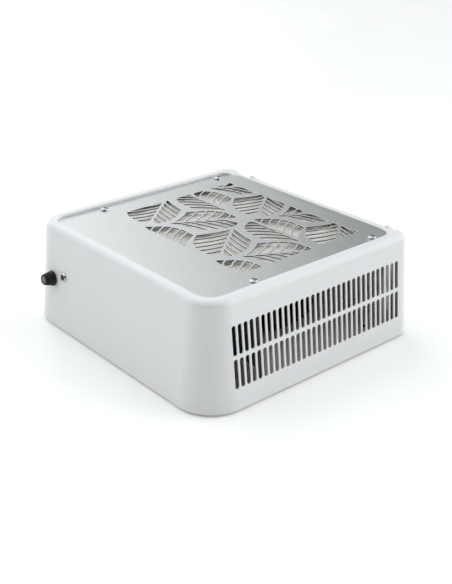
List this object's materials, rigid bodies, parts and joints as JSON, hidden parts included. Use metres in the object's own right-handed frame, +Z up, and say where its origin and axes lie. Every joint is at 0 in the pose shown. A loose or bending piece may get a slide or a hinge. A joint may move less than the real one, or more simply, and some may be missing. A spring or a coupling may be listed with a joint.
{
  "type": "nail dust collector",
  "caption": "Table-top nail dust extractor: drafted white housing, leaf-cut steel top grille, pleated filter, radial fan, slotted side vents, speed knob and hand rest.",
  "frame": {"origin": "on the table, under the middle of the bounding box", "axes": "+Z up, -Y towards the user (hand rest side), +Y towards the rear wall with knob and socket, +X to the user's right"},
  "size_m": [0.2778, 0.2784, 0.1004],
  "materials": {
    "white_abs": "moulded ABS, fine satin gloss",
    "stainless": "brushed stainless sheet",
    "filter_card": "pressed fibre frame",
    "filter_paper": "pleated non-woven filter media",
    "foam": "closed-cell foam",
    "grey_abs": "moulded, matt, light warm grey",
    "black_abs": "moulded, matt",
    "steel": "zinc-plated steel",
    "ferrite": "sintered ferrite",
    "bearing_steel": "ground steel",
    "copper": "enamelled copper wire",
    "circuit_board": "green solder mask",
    "aluminium": "extruded aluminium",
    "knob_black": "ribbed black knob",
    "knob_grey": "satin grey cap",
    "chrome": "bright nickel plate",
    "lead_black": "sheathed lead",
    "leather": "white synthetic leather",
    "rubber": "moulded rubber",
    "brass": "knurled brass"
  },
  "bodies": {
    "housing": {"upper_housing": "white_abs", "base_plate": "grey_abs", "grille_plate": "stainless", "filter_frame": "filter_card", "filter_gasket": "foam", "filter_media": "filter_paper", "fan_deck": "grey_abs", "inlet_ring": "black_abs", "bearing_lower": "bearing_steel", "bearing_upper": "bearing_steel", "stator_core": "steel", "stator_winding": "copper", "motor_base": "grey_abs", "driver_board": "circuit_board", "control_board": "circuit_board", "capacitor": "black_abs", "heat_sink": "aluminium", "speed_pot_body": "steel", "speed_pot_nut": "bearing_steel", "power_socket": "steel", "socket_ring": "chrome", "motor_lead": "lead_black", "socket_lead": "lead_black", "pot_lead": "lead_black", "hand_rest_bar": "white_abs", "hand_rest_pad": "leather", "hand_rest_cap_right": "white_abs", "hand_rest_cap_left": "white_abs", "foot_1": "rubber", "base_screw_1": "steel", "deck_screw_1": "steel", "grille_screw_1": "chrome", "grille_insert_1": "brass", "foot_2": "rubber", "base_screw_2": "steel", "deck_screw_2": "steel", "grille_screw_2": "chrome", "grille_insert_2": "brass", "foot_3": "rubber", "base_screw_3": "steel", "deck_screw_3": "steel", "grille_screw_3": "chrome", "grille_insert_3": "brass", "foot_4": "rubber", "base_screw_4": "steel", "deck_screw_4": "steel", "grille_screw_4": "chrome", "grille_insert_4": "brass", "motor_screw_1": "steel", "motor_screw_2": "steel", "motor_screw_3": "steel", "hand_rest_screw_1": "steel", "hand_rest_screw_2": "steel"},
    "fan": {"impeller": "black_abs", "rotor_can": "steel", "rotor_magnet": "ferrite", "motor_shaft": "steel"},
    "knob": {"speed_knob": "knob_black", "knob_cap": "knob_grey", "speed_pot_shaft": "steel"}
  },
  "joints": [
    {"name": "fan_spin", "type": "hinge", "parent": "housing", "child": "fan", "pos_m": [0, -0.01673, 0.04], "axis": [0, 0, 1], "continuous": true},
    {"name": "speed_knob_turn", "type": "hinge", "parent": "housing", "child": "knob", "pos_m": [0.097, 0.12805, 0.0492], "axis": [0, 0.995, 0.0995], "range_deg": [-300, 0]}
  ]
}
